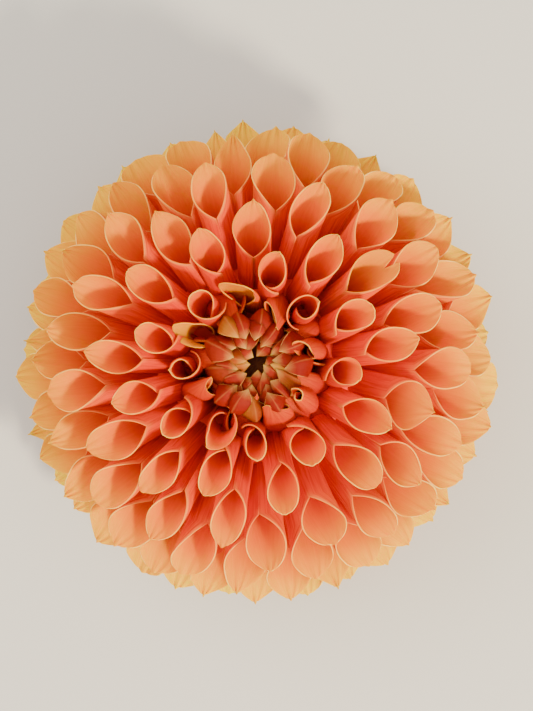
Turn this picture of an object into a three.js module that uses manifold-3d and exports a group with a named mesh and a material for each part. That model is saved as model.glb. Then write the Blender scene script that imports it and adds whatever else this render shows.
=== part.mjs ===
// A ball dahlia bloom as picked, lying face up on its lowest florets, its stem cut short.
// Millimetres, +Z up. The origin is on the surface it lies on, below the middle of the bloom.

import * as THREE from "three";
import { mergeVertices } from "three/addons/utils/BufferGeometryUtils.js";
import Module from "manifold-3d";

const { clamp, degToRad, lerp, smoothstep } = THREE.MathUtils;
const wasm = await Module();
wasm.setup();

// Driving sizes of the whole bloom
const RAY_COUNT = 156;
const HEART_COUNT = 34;
const WALL = 0.7;
const CLEARANCE = 0.3;
const ROUND_SIDES = 24;

// The line that the tips of the ray florets follow, from the heart over the crown and down the
// side to the underside: share of the florets passed, distance from the axis, height.
const TIP_LINE = [
  [0, 14, 53.5],
  [0.06, 16.2, 54.8],
  [0.083, 18.3, 55.5],
  [0.167, 26.5, 54.5],
  [0.288, 36.2, 49],
  [0.43, 42.3, 40.5],
  [0.6, 46.2, 29],
  [0.8, 48, 15],
  [0.9, 46.5, 6],
  [0.945, 44.5, -0.6],
  [1, 42.5, -0.6],
];

// Growth: each floret turns by the golden angle from the one inside it
const GOLDEN_ANGLE = degToRad(137.508);
const FIRST_AZIMUTH = 5.39;
const AZIMUTH_SCATTER = degToRad(1.8);
const TIP_SCATTER = 0.9;
const HEIGHT_SCATTER = 1;
const SIZE_SCATTER = 0.07;
const MOUTH_SCATTER = 0.12;

// The receptacle, the fleshy disc that every floret grows from
const RECEPTACLE_RADIUS = 12;
const RECEPTACLE_MIDDLE = 18;
const RECEPTACLE_RISE = 6;
const FIRST_SEAT = degToRad(60);
const LAST_SEAT = degToRad(105);

// The egg-shaped core, flattened below, that fills the space between the packed tubes
const CORE_RADIUS = 29;
const CORE_MIDDLE = 22;
const CORE_CROWN = 21;
const CORE_UNDER = 13;
const CORE_SIDES = 9;
const CORE_STEPS = 4;
const CORE_SINK = 0.82;
const STALK_LEAST = 0.04;
const STALK_STEP = 0.01;

// Traits of a ray floret from the heart (age 0) over the crown to the underside (age 1)
const AGES = [0, 0.08, 0.17, 0.3, 0.6, 1];
const TUBE_RADII = [1.75, 2.25, 2.75, 3.2, 3.4, 3.3];
const FLARES = [0.05, 0.08, 0.1, 0.15, 0.35, 0.7];
const MOUTH_SHARES = [0.13, 0.15, 0.17, 0.19, 0.25, 0.42];
const TAPERS = [0.6, 0.7, 0.68, 0.68, 0.64, 0.58];
const BENDS = [6, 20, 24, 24, 20, -14];
const TWISTS = [48, 20, 12, 10, 10, 8];
const FLATTENINGS = [0.3, 0.14, 0.08, 0.06, 0.05, 0.05];
const ROOT_WIDTH = 0.6;
const ROOT_LENGTH = 0.45;

// The heart: closed florets that lean in over a small hollow, on a low dome
const HEART_FLOOR = CORE_MIDDLE + CORE_CROWN + CLEARANCE;
const HEART_RIM = 0.8;
const HEART_DOME = 2.6;
const HEART_RADIUS = 7.5;
const HEART_HOLLOW = 1.3;
const HEART_SIDES = 12;
const BUD_HALF_WIDTH = 1.75;
const BUD_HALF_DEPTH = 1;
const BUD_CRESTS = [2.2, 7.2];
const BUD_HEIGHTS = [6.2, 8.6];
const BUD_SIZES = [0.62, 1];
const BUD_LEAN = 2.6;

// The papery inner bracts, pressed under the lowest florets
const PAPER_BRACTS = 13;
const PAPER_REACH = 19.5;
const PAPER_RING = 3;
const PAPER_TOP = CORE_MIDDLE - CORE_UNDER - CLEARANCE;

// The green outer bracts, the boss of the receptacle and the cut stem
const GREEN_BRACTS = 6;
const GREEN_REACH = 22;
const GREEN_THICKNESS = 1;
const BOSS_RADIUS = 5;
const COLLAR_RADIUS = 6.5;
const COLLAR_LOW = 6.2;
const STEM_RADIUS = 2.6;
const STEM_TOP = 4;
const STEM_END = 1.2;

// Colours
const RAY_COLOUR = 0xf4793f;
const HEART_COLOUR = 0xb9593a;
const PAPER_COLOUR = 0xc9bd84;
const GREEN_COLOUR = 0x6f8a3c;

// A repeatable draw between -1 and 1 for floret number n and trait number k.
function draw(n, k) {
  const wave = Math.sin(n * 12.9898 + k * 78.233 + 4.1) * 43758.5453;
  return 2 * (wave - Math.floor(wave)) - 1;
}

// The value at a place on a line of values over rising stops.
function along(stops, values, place) {
  const next = Math.max(1, stops.findIndex((stop) => place <= stop));
  const share = (place - stops[next - 1]) / (stops[next] - stops[next - 1]);
  return lerp(values[next - 1], values[next], share);
}

// A point on a bent midrib in its own upright plane, and the direction it runs in there.
function midribAt([root, bend, tip], place) {
  const before = 1 - place;
  const point = root
    .clone()
    .multiplyScalar(before * before)
    .addScaledVector(bend, 2 * before * place)
    .addScaledVector(tip, place * place);
  const run = bend.clone().sub(root).multiplyScalar(before);
  run.addScaledVector(tip.clone().sub(bend), place).normalize();
  return { point, run };
}

// From a midrib's upright plane, with a step to the side, to the place on the bloom.
function onBloom(azimuth, reach, side, height) {
  return new THREE.Vector3(
    reach * Math.cos(azimuth) - side * Math.sin(azimuth),
    reach * Math.sin(azimuth) + side * Math.cos(azimuth),
    height,
  );
}

// Ray floret number rank: where its midrib runs and how its blade is rolled.
function rayFloret(rank) {
  const age = rank / (RAY_COUNT - 1);
  const stops = TIP_LINE.map(([share]) => share);
  const tip = new THREE.Vector2(
    along(stops, TIP_LINE.map(([, reach]) => reach), age) + TIP_SCATTER * draw(rank, 1),
    along(stops, TIP_LINE.map(([, , height]) => height), age),
  );
  tip.y += HEIGHT_SCATTER * draw(rank, 7) * smoothstep(tip.y, 4, 20);
  const seat = lerp(FIRST_SEAT, LAST_SEAT, age);
  const root = new THREE.Vector2(
    RECEPTACLE_RADIUS * Math.sin(seat),
    RECEPTACLE_MIDDLE + RECEPTACLE_RISE * Math.cos(seat),
  );
  const chord = tip.clone().sub(root);
  const lean = Math.atan2(chord.x, chord.y) - degToRad(along(AGES, BENDS, age));
  const bend = new THREE.Vector2(Math.sin(lean), Math.cos(lean))
    .multiplyScalar(0.5 * chord.length())
    .add(root);
  return {
    azimuth: FIRST_AZIMUTH - rank * GOLDEN_ANGLE + AZIMUTH_SCATTER * draw(rank, 2),
    midrib: [root, bend, tip],
    twist: degToRad(along(AGES, TWISTS, age)) * draw(rank, 3),
    flattening: along(AGES, FLATTENINGS, age) * draw(rank, 8),
    tubeRadius: along(AGES, TUBE_RADII, age) * (1 + SIZE_SCATTER * draw(rank, 5)),
    flare: along(AGES, FLARES, age),
    taper: along(AGES, TAPERS, age),
    throat: 1 - along(AGES, MOUTH_SHARES, age) * (1 + MOUTH_SCATTER * draw(rank, 6)),
  };
}

// A point of a rolled blade: place runs from 0 at the root to 1 at the tip, across from -1 to 1
// between its edges, and depth moves it off the blade's middle towards the inside of the roll.
// The tube widens from its root up to the throat, where the two edges part. From there the blade
// narrows, which opens the tube's mouth.
function bladePoint(floret, place, across, depth) {
  const { point, run } = midribAt(floret.midrib, place);
  const past = clamp((place - floret.throat) / (1 - floret.throat), 0, 1);
  const widening = 1 + floret.flare * past;
  const swell = lerp(ROOT_WIDTH, 1, clamp(1 - (floret.throat - place) / ROOT_LENGTH, 0, 1));
  const radius = floret.tubeRadius * swell * widening;
  const angle = ((Math.PI * (1 - past) ** floret.taper) / widening) * across;
  const outwards = (radius - depth) * Math.sin(angle) * (1 + floret.flattening);
  const upwards = -(radius - depth) * Math.cos(angle) * (1 - floret.flattening);
  const side = outwards * Math.cos(floret.twist) - upwards * Math.sin(floret.twist);
  const lift = outwards * Math.sin(floret.twist) + upwards * Math.cos(floret.twist) + radius;
  return onBloom(floret.azimuth, point.x - lift * run.y, side, point.y + lift * run.x);
}

// A rolled floret: a solid stalk where its tube is closed, and from the throat an open cup
// between two skins, which narrows to the one point at its tip.
const ACROSS = [-1, -0.5, 0, 0.5, 1];
const ACROSS_NARROW = [-1, -1, 0, 1, 1];
const ACROSS_TIP = [0, 0, 0, 0, 0];
const WIDEST_PLACE = 0.42;
const NARROW_PLACE = 0.82;
function rolledFloret(floret, start) {
  const sections = [
    [start, ACROSS],
    [floret.throat, ACROSS],
    [lerp(floret.throat, 1, WIDEST_PLACE), ACROSS],
    [lerp(floret.throat, 1, NARROW_PLACE), ACROSS_NARROW],
    [1, ACROSS_TIP],
  ];
  const [outer, inner] = [-WALL / 2, WALL / 2].map((depth) =>
    sections.map(([place, columns]) =>
      columns.map((across) => bladePoint(floret, place, across, depth)),
    ),
  );
  const triangles = [];
  const quad = (a, b, c, d) => triangles.push([a, b, c], [a, c, d]);
  const edge = ACROSS.length - 1;
  for (let row = 0; row + 1 < sections.length; row += 1) {
    const [out, outNext] = [outer[row], outer[row + 1]];
    const [within, withinNext] = [inner[row], inner[row + 1]];
    for (let column = 0; column < edge; column += 1) {
      const next = column + 1;
      quad(out[column], out[next], outNext[next], outNext[column]);
      if (row > 0) {
        triangles.push([within[column], withinNext[next], within[next]]);
        triangles.push([within[column], withinNext[column], withinNext[next]]);
      }
    }
    if (row > 0) {
      quad(out[edge], within[edge], withinNext[edge], outNext[edge]);
      quad(within[0], out[0], outNext[0], withinNext[0]);
    }
  }
  quad(outer[0][0], outer[0][3], outer[0][2], outer[0][1]);
  quad(inner[1][0], inner[1][1], inner[1][2], inner[1][3]);
  return solidFrom(triangles);
}

// How far out a point lies, as a share of the way from the core's middle to its skin.
function coreShare(point) {
  const half = point.y > CORE_MIDDLE ? CORE_CROWN : CORE_UNDER;
  return Math.hypot(point.x / CORE_RADIUS, (point.y - CORE_MIDDLE) / half);
}

// Where along its midrib a floret is still sunk well into the core, and below its throat.
function startInCore(floret) {
  let place = floret.throat - STALK_LEAST;
  while (coreShare(midribAt(floret.midrib, place).point) > CORE_SINK) {
    place -= STALK_STEP;
  }
  return place;
}

function coreSolid() {
  const profile = [];
  for (let step = 0; step <= CORE_STEPS; step += 1) {
    const turn = (Math.PI * step) / CORE_STEPS;
    const half = turn > Math.PI / 2 ? CORE_CROWN : CORE_UNDER;
    const onAxis = step === 0 || step === CORE_STEPS;
    const radius = onAxis ? 0 : CORE_RADIUS * Math.sin(turn);
    profile.push([radius, CORE_MIDDLE - half * Math.cos(turn)]);
  }
  return turned(profile, CORE_SIDES);
}

function rayFlorets() {
  const blades = [];
  for (let rank = 0; rank < RAY_COUNT; rank += 1) {
    const floret = rayFloret(rank);
    blades.push(rolledFloret(floret, startInCore(floret)));
  }
  return wholeOf(unite([coreSolid(), ...blades]).subtract(surface()));
}

// The room below the surface that the bloom lies on. It leaves the lowest florets flat there.
function surface() {
  const [width, depth] = [200, 10];
  const block = new THREE.BoxGeometry(width, width, depth);
  block.translate(0, 0, -depth / 2);
  return solidOf(block);
}

// A closed floret of the heart: a keeled spindle that stands on the dome and leans inwards.
function heartBud(number) {
  const age = (number + 0.5) / HEART_COUNT;
  const crest = lerp(...BUD_CRESTS, Math.sqrt(age));
  const top = HEART_FLOOR + lerp(...BUD_HEIGHTS, age);
  const midrib = [
    new THREE.Vector2(crest * 0.82, HEART_FLOOR + 0.6),
    new THREE.Vector2(crest + 1.1, top - 0.5),
    new THREE.Vector2(Math.max(HEART_HOLLOW, crest - BUD_LEAN), top + 0.4),
  ];
  const azimuth = number * GOLDEN_ANGLE;
  const size = lerp(...BUD_SIZES, age);
  const rings = [
    [0, 0.7],
    [0.45, 1],
    [0.78, 0.8],
  ].map(([place, share]) => {
    const { point, run } = midribAt(midrib, place);
    const width = BUD_HALF_WIDTH * size * share;
    const depth = BUD_HALF_DEPTH * size * share;
    return [
      [0, -depth],
      [width, 0],
      [0, depth],
      [-width, 0],
    ].map(([side, lift]) => onBloom(azimuth, point.x - lift * run.y, side, point.y + lift * run.x));
  });
  const tip = onBloom(azimuth, midrib[2].x, 0, midrib[2].y);
  return spindle(rings, tip);
}

// A closed body through rings of equal number, with a flat first ring and a pointed end.
function spindle(rings, tip) {
  const count = rings[0].length;
  const triangles = [];
  rings.forEach((ring, row) => {
    for (let index = 0; index < count; index += 1) {
      const next = (index + 1) % count;
      if (row + 1 < rings.length) {
        triangles.push([ring[index], ring[next], rings[row + 1][next]]);
        triangles.push([ring[index], rings[row + 1][next], rings[row + 1][index]]);
      } else {
        triangles.push([ring[index], ring[next], tip]);
      }
    }
  });
  for (let index = 1; index + 1 < count; index += 1) {
    triangles.push([rings[0][0], rings[0][index + 1], rings[0][index]]);
  }
  return solidFrom(triangles);
}

function heartFlorets() {
  const dome = turned(
    [
      [0, HEART_FLOOR],
      [HEART_RADIUS, HEART_FLOOR],
      [HEART_RADIUS, HEART_FLOOR + HEART_RIM],
      [HEART_RADIUS * 0.6, HEART_FLOOR + HEART_DOME],
      [0, HEART_FLOOR + HEART_DOME],
    ],
    HEART_SIDES,
  );
  const buds = Array.from({ length: HEART_COUNT }, (_, number) => heartBud(number));
  return wholeOf(unite([dome, ...buds]));
}

// A leaf of even thickness from an outline of [reach, half width, height of its underside], its
// last point being the tip.
function leafBlade(azimuth, outline, thickness) {
  const [low, high] = [0, thickness].map((rise) =>
    outline.map(([reach, half, height]) => [
      onBloom(azimuth, reach, half, height + rise),
      onBloom(azimuth, reach, -half, height + rise),
    ]),
  );
  const triangles = [];
  const quad = (a, b, c, d) => triangles.push([a, b, c], [a, c, d]);
  for (let row = 0; row + 1 < outline.length; row += 1) {
    const next = row + 1;
    quad(high[row][0], high[row][1], high[next][1], high[next][0]);
    triangles.push([low[row][0], low[next][1], low[row][1]]);
    triangles.push([low[row][0], low[next][0], low[next][1]]);
    quad(low[row][0], high[row][0], high[next][0], low[next][0]);
    quad(high[row][1], low[row][1], low[next][1], high[next][1]);
  }
  quad(low[0][0], low[0][1], high[0][1], high[0][0]);
  return solidFrom(triangles);
}

function paperBracts() {
  const inside = BOSS_RADIUS + CLEARANCE / Math.cos(Math.PI / ROUND_SIDES);
  const outside = inside + PAPER_RING;
  const floor = PAPER_TOP - WALL;
  const ring = turned(
    [
      [inside, floor],
      [outside, floor],
      [outside, PAPER_TOP],
      [inside, PAPER_TOP],
      [inside, floor],
    ],
    ROUND_SIDES,
  );
  const outline = [
    [outside - 1, 1.7, floor],
    [PAPER_REACH * 0.72, 2.7, floor],
    [PAPER_REACH * 0.92, 1.8, floor],
    [PAPER_REACH, 0, floor],
  ];
  const bracts = [];
  for (let number = 0; number < PAPER_BRACTS; number += 1) {
    bracts.push(leafBlade((2 * Math.PI * number) / PAPER_BRACTS, outline, WALL));
  }
  return wholeOf(unite([ring, ...bracts]));
}

function stemAndGreenBracts() {
  const under = PAPER_TOP - WALL - CLEARANCE;
  const stem = turned(
    [
      [0, STEM_END],
      [STEM_RADIUS, STEM_END],
      [STEM_RADIUS, STEM_TOP],
      [COLLAR_RADIUS, COLLAR_LOW],
      [COLLAR_RADIUS, under],
      [BOSS_RADIUS, under],
      [BOSS_RADIUS, PAPER_TOP],
      [0, PAPER_TOP],
    ],
    ROUND_SIDES,
  );
  const outline = [
    [BOSS_RADIUS, 2.2, COLLAR_LOW],
    [GREEN_REACH * 0.45, 3, 6],
    [GREEN_REACH * 0.72, 4, 4.6],
    [GREEN_REACH * 0.92, 2.6, 2.8],
    [GREEN_REACH, 0, 1.8],
  ];
  const bracts = [];
  for (let number = 0; number < GREEN_BRACTS; number += 1) {
    const azimuth = (2 * Math.PI * (number + 0.5)) / GREEN_BRACTS;
    bracts.push(leafBlade(azimuth, outline, GREEN_THICKNESS));
  }
  return wholeOf(unite([stem, ...bracts]));
}

// A solid from triangles given as three corner points each; those shrunk to a line are left out.
function solidFrom(triangles) {
  const apart = (a, b) => a.distanceTo(b) > 0.01;
  const whole = triangles.filter(([a, b, c]) => apart(a, b) && apart(b, c) && apart(c, a));
  const corners = whole.flat().flatMap((point) => point.toArray());
  const geometry = new THREE.BufferGeometry();
  geometry.setAttribute("position", new THREE.Float32BufferAttribute(corners, 3));
  return solidOf(geometry);
}

function solidOf(geometry) {
  geometry.deleteAttribute("normal");
  geometry.deleteAttribute("uv");
  const merged = mergeVertices(geometry, 1e-3);
  const mesh = new wasm.Mesh({
    numProp: 3,
    vertProperties: merged.attributes.position.array,
    triVerts: Uint32Array.from(merged.index.array),
  });
  return new wasm.Manifold(mesh);
}

function unite(solids) {
  let round = solids;
  while (round.length > 1) {
    const next = [];
    for (let index = 0; index < round.length; index += 2) {
      const pair = round[index + 1];
      next.push(pair ? round[index].add(pair) : round[index]);
    }
    round = next;
  }
  return round[0];
}

// The largest body of a fused solid, without the scraps that trimming leaves.
function wholeOf(solid) {
  return solid.decompose().sort((a, b) => b.volume() - a.volume())[0];
}

// A body turned about the axis from a list of [radius, height] points.
function turned(profile, sides) {
  const points = profile.map(([radius, height]) => new THREE.Vector2(radius, height));
  const lathe = new THREE.LatheGeometry(points, sides);
  lathe.rotateX(Math.PI / 2);
  return solidOf(lathe);
}

function meshOf(name, solid, colour, roughness) {
  const { vertProperties, triVerts } = solid.getMesh();
  const geometry = new THREE.BufferGeometry();
  geometry.setAttribute("position", new THREE.Float32BufferAttribute(vertProperties, 3));
  geometry.setIndex(Array.from(triVerts));
  const material = new THREE.MeshStandardMaterial({ color: colour, roughness, metalness: 0 });
  const mesh = new THREE.Mesh(geometry, material);
  mesh.name = name;
  return mesh;
}

const bloom = new THREE.Group();
for (const [name, make, colour, roughness] of [
  ["ray_florets", rayFlorets, RAY_COLOUR, 0.6],
  ["heart_florets", heartFlorets, HEART_COLOUR, 0.6],
  ["inner_bracts", paperBracts, PAPER_COLOUR, 0.7],
  ["stem_and_outer_bracts", stemAndGreenBracts, GREEN_COLOUR, 0.6],
]) {
  bloom.add(meshOf(name, make(), colour, roughness));
}

export default bloom;
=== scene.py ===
# A ball dahlia bloom as picked, lying face up on its lowest florets, its stem cut short.
# Sizes are in millimetres until a mesh is made; MM turns them into metres.

import math

import bpy
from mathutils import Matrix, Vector


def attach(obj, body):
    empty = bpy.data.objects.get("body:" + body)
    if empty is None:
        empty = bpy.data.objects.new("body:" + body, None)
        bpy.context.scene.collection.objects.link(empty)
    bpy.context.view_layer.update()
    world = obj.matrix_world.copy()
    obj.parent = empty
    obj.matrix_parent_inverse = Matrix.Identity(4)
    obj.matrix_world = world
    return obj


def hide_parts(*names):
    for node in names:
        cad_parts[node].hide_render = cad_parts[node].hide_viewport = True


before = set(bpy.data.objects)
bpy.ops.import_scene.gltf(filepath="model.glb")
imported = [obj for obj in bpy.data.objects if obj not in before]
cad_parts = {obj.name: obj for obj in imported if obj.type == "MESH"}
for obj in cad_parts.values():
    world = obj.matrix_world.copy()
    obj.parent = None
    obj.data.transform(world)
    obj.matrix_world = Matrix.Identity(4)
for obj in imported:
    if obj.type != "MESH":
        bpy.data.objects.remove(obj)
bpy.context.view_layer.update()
MM = 0.001


# The view and the light
# A phone held level over the bloom, a pale floor in place of what it lies on, and a soft
# lamp low on the near right side with a pale sky all round.
CAMERA_PLACE = (1.82, 1.5, 340)
FOCAL_LENGTH = 81.4
SENSOR_SIZE = 36
NEAREST_SEEN = 10
SKY_COLOUR = (1.0, 0.93, 0.8, 1)
SKY_STRENGTH = 1.3

camera_data = bpy.data.cameras.new("camera")
camera_data.sensor_width = SENSOR_SIZE
camera_data.lens = FOCAL_LENGTH
camera_data.clip_start = NEAREST_SEEN * MM
camera = bpy.data.objects.new("camera", camera_data)
camera.location = Vector(CAMERA_PLACE) * MM
bpy.context.collection.objects.link(camera)
bpy.context.scene.camera = camera


def add_lamp(name, place, size, power, colour):
    """A square soft lamp at a place in millimetres, turned to the middle of the bloom."""
    lamp_data = bpy.data.lights.new(name, "AREA")
    lamp_data.size = size * MM
    lamp_data.energy = power
    lamp_data.color = colour
    lamp = bpy.data.objects.new(name, lamp_data)
    lamp.location = Vector(place) * MM
    lamp.rotation_euler = Vector(place).to_track_quat("Z", "Y").to_euler()
    bpy.context.collection.objects.link(lamp)


add_lamp("key_lamp", place=(420, -420, 520), size=100, power=11.5, colour=(1.0, 0.86, 0.6))
add_lamp("fill_lamp", place=(-500, 250, 500), size=700, power=4.6, colour=(1.0, 0.93, 0.82))

world = bpy.data.worlds.new("pale_sky")
world.use_nodes = True
sky = world.node_tree.nodes["Background"]
sky.inputs["Color"].default_value = SKY_COLOUR
sky.inputs["Strength"].default_value = SKY_STRENGTH
bpy.context.scene.world = world


def new_material(name):
    """A material with only its Principled shader and output, ready for its nodes."""
    material = bpy.data.materials.new(name)
    material.use_nodes = True
    tree = material.node_tree
    return material, tree, tree.nodes["Principled BSDF"]


def colour(red, green, blue):
    """A colour read in screen values from 0 to 255, as the shader wants it."""
    channels = [value / 255 for value in (red, green, blue)]
    linear = [c / 12.92 if c <= 0.04045 else ((c + 0.055) / 1.055) ** 2.4 for c in channels]
    return (*linear, 1)


FLOOR_SIZE = 9000
FLOOR_COLOUR = colour(205, 203, 200)
FLOOR_ROUGHNESS = 0.8

bpy.ops.object.select_all(action="DESELECT")
bpy.ops.mesh.primitive_plane_add(size=FLOOR_SIZE * MM)
floor = bpy.context.object
floor.name = "floor"
floor_paint, tree, shader = new_material("pale_floor")
shader.inputs["Base Color"].default_value = FLOOR_COLOUR
shader.inputs["Roughness"].default_value = FLOOR_ROUGHNESS
floor.data.materials.append(floor_paint)


# The ray florets
# Each is one petal, a soft blade rolled into a tube that opens as a spoon-shaped cup. They
# grow from the receptacle in spirals, the youngest upright round the heart and the oldest
# bent down under the bloom, where they carry it.
RAY_COUNT = 156
PETAL_WALL = 0.22

# The line that the tips follow, from the heart over the crown and down the side to the
# underside: share of the florets passed, distance from the axis, height.
TIP_LINE = [
    (0, 14, 53.5),
    (0.06, 16.2, 54.8),
    (0.083, 18.3, 55.5),
    (0.167, 26.5, 54.5),
    (0.288, 36.2, 49),
    (0.43, 42.3, 40.5),
    (0.6, 46.2, 29),
    (0.8, 48, 15),
    (0.9, 46.5, 6),
    (0.945, 44.5, -0.6),
    (1, 42.5, -0.6),
]
GOLDEN_ANGLE = math.radians(137.508)
FIRST_AZIMUTH = 5.39

# The seats of the florets on the receptacle, and the core that the tubes are sunk in: an
# egg, flattened below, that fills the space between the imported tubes.
RECEPTACLE_RADIUS = 12
RECEPTACLE_MIDDLE = 18
RECEPTACLE_RISE = 6
FIRST_SEAT = math.radians(60)
LAST_SEAT = math.radians(105)
CORE_RADIUS = 28.4
CORE_MIDDLE = 22
CORE_CROWN = 20.6
CORE_UNDER = 12.4
CORE_SINK = 0.8
SINK_STEP = 0.01
LEAST_TUBE = 0.04

# Traits of a floret from the heart (age 0) over the crown to the underside (age 1)
AGES = [0, 0.06, 0.1, 0.17, 0.3, 0.6, 1]
TUBE_RADII = [2.3, 2.3, 2.25, 2.75, 3.2, 3.65, 3.5]
FLARES = [-0.45, -0.3, -0.1, 0.1, 0.15, 0.35, 0.7]
MOUTH_SHARES = [0.2, 0.2, 0.19, 0.17, 0.19, 0.25, 0.42]
BENDS = [-18, 10, 24, 24, 24, 20, -14]
TAPERS = [0.8, 0.8, 0.78, 0.7, 0.68, 0.66, 0.66]
COILS = [1.45, 1.5, 1.3, 1.04, 1, 1, 1]
SPIRALS = [0.35, 0.42, 0.3, 0.08, 0.05, 0.04, 0.03]
TWISTS = [75, 50, 24, 14, 14, 18, 18]
FLATTENINGS = [0.3, 0.35, 0.14, 0.08, 0.06, 0.05, 0.05]
WAVES = [0.4, 0.35, 0.3, 0.25, 0.3, 0.4, 0.5]
TIP_CURLS = [-3.2, -2.2, -0.9, 1.0, 1.0, 1.2, 1.5]
GROOVES = [0, 0, 0.15, 0.3, 0.5, 0.7, 0.7]
NODS = [4.2, 3.6, 2.2, 0.4, 0, 0, 0]

# How the tube narrows to its root, where its midrib bends, and how much of the blank's
# length is rolled into the tube
ROOT_WIDTH = 0.88
ROOT_LENGTH = 0.45
BEND_SHARE = 0.5
TUBE_ROWS = 0.34

# The mouth: its wavy edge, its notch if it has one, the point at its tip, the hood or curl
# that ends it, and the folds that run to that point
WAVES_ALONG = 5
WAVES_ACROSS = 2
WAVE_SCATTER = 9
WAVE_POWER = 4
NOTCH_HALF_WIDTH = 0.16
NOTCH_FROM = 0.3
BEAK = 0.6
BEAK_HALF_WIDTH = 0.18
BEAK_FROM = 0.8
HOOD_POWER = 2.5
CURL_POWER = 4
MIDRIB_FOLD_WIDTH = 0.09
SIDE_FOLD = 0.6
SIDE_FOLD_PLACE = 0.3
SIDE_FOLD_WIDTH = 0.08

# The nod of the youngest florets, in over the heart, from a height up
NOD_FROM = 43.5
NOD_HEIGHT = 10
NOD_LIMIT = 1.2
NOD_DROP = 0.3

# How much each trait is scattered, the heights between which the scatter in height sets in,
# how flat the youngest florets are at least, and the number each trait's draw is made from
AZIMUTH_SCATTER = math.radians(1.8)
TIP_SCATTER = 0.9
HEIGHT_SCATTER = 1.0
SCATTERED_HEIGHTS = (4, 20)
SIZE_SCATTER = 0.07
MOUTH_SCATTER = 0.12
TAPER_SCATTER = 0.28
NOD_SCATTER = 0.3
HOOD_SCATTER = 0.3
CURL_SCATTER = 1.0
LEAST_SQUASH = 0.6
SQUASHED_AGE = 0.08
SQUASH_BLEND = 0.02
DRAW_REACH = 1
DRAW_TURN = 2
DRAW_TWIST = 3
DRAW_TINT = 4
DRAW_GIRTH = 5
DRAW_MOUTH = 6
DRAW_HEIGHT = 7
DRAW_SQUASH = 8
DRAW_WAVE = 9
DRAW_TAPER = 10
DRAW_CURL = 16
DRAW_NOD = 18
DRAW_BEAK = 24


def clamp(value, low=0.0, high=1.0):
    return max(low, min(high, value))


def lerp(low, high, share):
    return low + (high - low) * share


def smoothstep(value, low, high):
    share = clamp((value - low) / (high - low))
    return share * share * (3 - 2 * share)


def draw(number, trait):
    """A repeatable draw between -1 and 1 for a floret and a trait."""
    wave = math.sin(number * 12.9898 + trait * 78.233 + 4.1) * 43758.5453
    return 2 * (wave - math.floor(wave)) - 1


def along(stops, values, place):
    """The value at a place on a line of values over rising stops."""
    following = max(1, next(i for i, stop in enumerate(stops) if place <= stop))
    share = (place - stops[following - 1]) / (stops[following] - stops[following - 1])
    return lerp(values[following - 1], values[following], share)


def midrib_at(midrib, place):
    """A point on a bent midrib in its upright plane, and the direction it runs in there."""
    root, bend, tip = midrib
    before = 1 - place
    point = root * before**2 + bend * (2 * before * place) + tip * place**2
    run = (bend - root) * before + (tip - bend) * place
    return point, run.normalized()


def on_bloom(azimuth, reach, side, height):
    """From a midrib's upright plane, with a step to the side, to the place on the bloom."""
    return (
        (reach * math.cos(azimuth) - side * math.sin(azimuth)) * MM,
        (reach * math.sin(azimuth) + side * math.cos(azimuth)) * MM,
        height * MM,
    )


# Petals of this bloom that grew odd: golden inside, notched, narrow or reaching out.
ODD_PETALS = {
    9: {"gold": 1.0, "coil": 1.0, "flare": 0.3, "throat": 0.76, "nod": 0.5, "tip_curl": 1.0},
    11: {"coil": 1.1, "flare": 0.15, "nod": 0.8, "tip_curl": 0.5},
    12: {
        "gold": 0.8,
        "coil": 1.0,
        "flare": -0.2,
        "throat": 0.72,
        "flattening": 0.55,
        "nod": 0.8,
    },
    13: {"coil": 1.2, "flare": -0.6, "nod": 3.4, "tip_curl": -3.0},
    16: {"coil": 1.2, "flare": 0.0, "nod": 1.2, "tip_curl": -1.0},
    36: {"gold": 0.55, "notch": 0.42, "taper": 0.5},
    39: {"flattening": 0.4, "taper": 0.95},
    67: {"taper": 1.0},
    90: {"taper": 1.0, "tube_radius": 2.6},
    97: {"taper": 0.95, "reach": 0.6},
    99: {"taper": 0.8, "reach": 0.7},
    101: {"taper": 0.95, "tube_radius": 2.6},
    102: {"taper": 0.9, "tube_radius": 2.7},
    105: {"taper": 0.8, "reach": 1.0},
    116: {"taper": 0.95, "tube_radius": 2.7},
    117: {"taper": 0.95},
    122: {"taper": 0.85, "reach": 1.4},
}


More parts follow.
